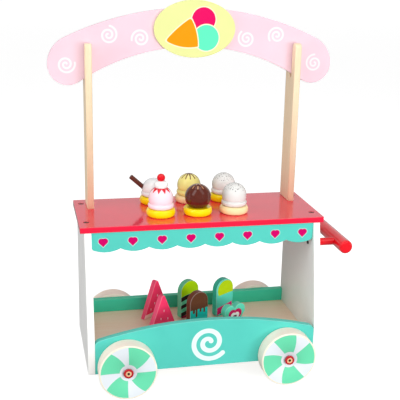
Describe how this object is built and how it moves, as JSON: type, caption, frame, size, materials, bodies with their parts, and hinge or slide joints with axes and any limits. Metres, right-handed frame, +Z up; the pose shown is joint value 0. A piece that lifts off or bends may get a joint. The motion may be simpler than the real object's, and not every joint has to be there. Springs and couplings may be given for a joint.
{
  "type": "push vending cart",
  "caption": "Toy vending cart on wheels: red counter, white side panels, scalloped valance, arched sign board on two posts, push handle, play ice creams on the counter and lollies on the shelf",
  "frame": {"origin": "centre of the bounding box at floor level", "axes": "+X along the cart towards the push handle, +Y from the serving side to the back, +Z up"},
  "size_m": [0.6082, 0.3076, 0.765],
  "materials": {
    "red_lacquer": "gloss paint",
    "handle_red": "gloss paint",
    "white_lacquer": "satin paint",
    "turquoise_paint": "satin paint",
    "teal_paint": "satin paint",
    "beech_post": "clear lacquer",
    "plywood_shelf": "clear lacquer",
    "pink_paint": "satin paint",
    "lime_cream_paint": "satin paint",
    "wheel_paint": "satin paint",
    "cap_paint": "satin paint",
    "dark_steel": "zinc plated",
    "yellow_paint": "gloss paint",
    "peach_paint": "gloss paint",
    "strawberry_paint": "gloss paint",
    "cream_paint": "gloss paint",
    "cherry_paint": "gloss paint",
    "chocolate_paint": "gloss paint",
    "lemon_paint": "gloss paint",
    "melon_paint": "satin paint",
    "lolly_paint": "satin paint",
    "lime_lolly_paint": "satin paint",
    "dip_paint": "satin paint",
    "mint_paint": "satin paint"
  },
  "bodies": {
    "cart_frame": {"counter_top": "red_lacquer", "side_panel_left": "white_lacquer", "side_panel_right": "white_lacquer", "shelf_board": "plywood_shelf", "front_panel": "turquoise_paint", "back_rail": "teal_paint", "valance": "turquoise_paint", "post_left": "beech_post", "post_right": "beech_post", "arch_board": "pink_paint", "oval_sign": "lime_cream_paint", "handle_bar": "handle_red", "handle_struts": "handle_red", "handle_bolts": "dark_steel", "counter_screws": "dark_steel", "axle_screws": "dark_steel", "hub_caps": "cap_paint"},
    "front_left_wheel": {"wheel_front_left": "wheel_paint"},
    "front_right_wheel": {"wheel_front_right": "wheel_paint"},
    "back_left_wheel": {"wheel_back_left": "wheel_paint"},
    "back_right_wheel": {"wheel_back_right": "wheel_paint"},
    "strawberry_treat": {"base_strawberry": "yellow_paint", "scoop_strawberry": "strawberry_paint", "cream_dollop": "cream_paint", "cherry": "cherry_paint"},
    "chocolate_treat": {"base_chocolate": "yellow_paint", "scoop_chocolate": "chocolate_paint"},
    "vanilla_treat": {"base_vanilla": "peach_paint", "scoop_vanilla": "cream_paint"},
    "lemon_treat": {"base_lemon": "peach_paint", "scoop_lemon": "lemon_paint"},
    "coconut_treat": {"base_coconut": "yellow_paint", "scoop_coconut": "cream_paint", "chocolate_stick": "chocolate_paint"},
    "stracciatella_treat": {"base_stracciatella": "yellow_paint", "scoop_stracciatella": "cream_paint"},
    "melon_slice_back": {"melon_back": "melon_paint"},
    "melon_slice_front": {"melon_front": "melon_paint"},
    "striped_lolly": {"lolly_striped": "lolly_paint"},
    "dipped_lolly": {"lolly_dipped": "dip_paint"},
    "lime_lolly": {"lolly_lime": "lime_lolly_paint"},
    "heart_lolly": {"lolly_heart": "mint_paint"}
  },
  "joints": [
    {"name": "front_left_wheel_spin", "type": "hinge", "parent": "cart_frame", "child": "front_left_wheel", "pos_m": [-0.17195, -0.13225, 0.058], "axis": [0, 1, 0], "continuous": true},
    {"name": "front_right_wheel_spin", "type": "hinge", "parent": "cart_frame", "child": "front_right_wheel", "pos_m": [0.15965, -0.13225, 0.058], "axis": [0, 1, 0], "continuous": true},
    {"name": "back_left_wheel_spin", "type": "hinge", "parent": "cart_frame", "child": "back_left_wheel", "pos_m": [-0.17195, 0.13225, 0.058], "axis": [0, 1, 0], "continuous": true},
    {"name": "back_right_wheel_spin", "type": "hinge", "parent": "cart_frame", "child": "back_right_wheel", "pos_m": [0.15965, 0.13225, 0.058], "axis": [0, 1, 0], "continuous": true},
    {"name": "strawberry_treat_lift", "type": "slide", "parent": "cart_frame", "child": "strawberry_treat", "axis": [0, 0, 1], "range_m": [0, 0.12]},
    {"name": "chocolate_treat_lift", "type": "slide", "parent": "cart_frame", "child": "chocolate_treat", "axis": [0, 0, 1], "range_m": [0, 0.12]},
    {"name": "vanilla_treat_lift", "type": "slide", "parent": "cart_frame", "child": "vanilla_treat", "axis": [0, 0, 1], "range_m": [0, 0.12]},
    {"name": "lemon_treat_lift", "type": "slide", "parent": "cart_frame", "child": "lemon_treat", "axis": [0, 0, 1], "range_m": [0, 0.12]},
    {"name": "coconut_treat_lift", "type": "slide", "parent": "cart_frame", "child": "coconut_treat", "axis": [0, 0, 1], "range_m": [0, 0.12]},
    {"name": "stracciatella_treat_lift", "type": "slide", "parent": "cart_frame", "child": "stracciatella_treat", "axis": [0, 0, 1], "range_m": [0, 0.12]},
    {"name": "melon_slice_back_lift", "type": "slide", "parent": "cart_frame", "child": "melon_slice_back", "axis": [0, 0, 1], "range_m": [0, 0.1]},
    {"name": "melon_slice_front_lift", "type": "slide", "parent": "cart_frame", "child": "melon_slice_front", "axis": [0, 0, 1], "range_m": [0, 0.1]},
    {"name": "striped_lolly_lift", "type": "slide", "parent": "cart_frame", "child": "striped_lolly", "axis": [0, 0, 1], "range_m": [0, 0.1]},
    {"name": "dipped_lolly_lift", "type": "slide", "parent": "cart_frame", "child": "dipped_lolly", "axis": [0, 0, 1], "range_m": [0, 0.1]},
    {"name": "lime_lolly_lift", "type": "slide", "parent": "cart_frame", "child": "lime_lolly", "axis": [0, 0, 1], "range_m": [0, 0.1]},
    {"name": "heart_lolly_lift", "type": "slide", "parent": "cart_frame", "child": "heart_lolly", "axis": [0, 0, 1], "range_m": [0, 0.1]}
  ]
}
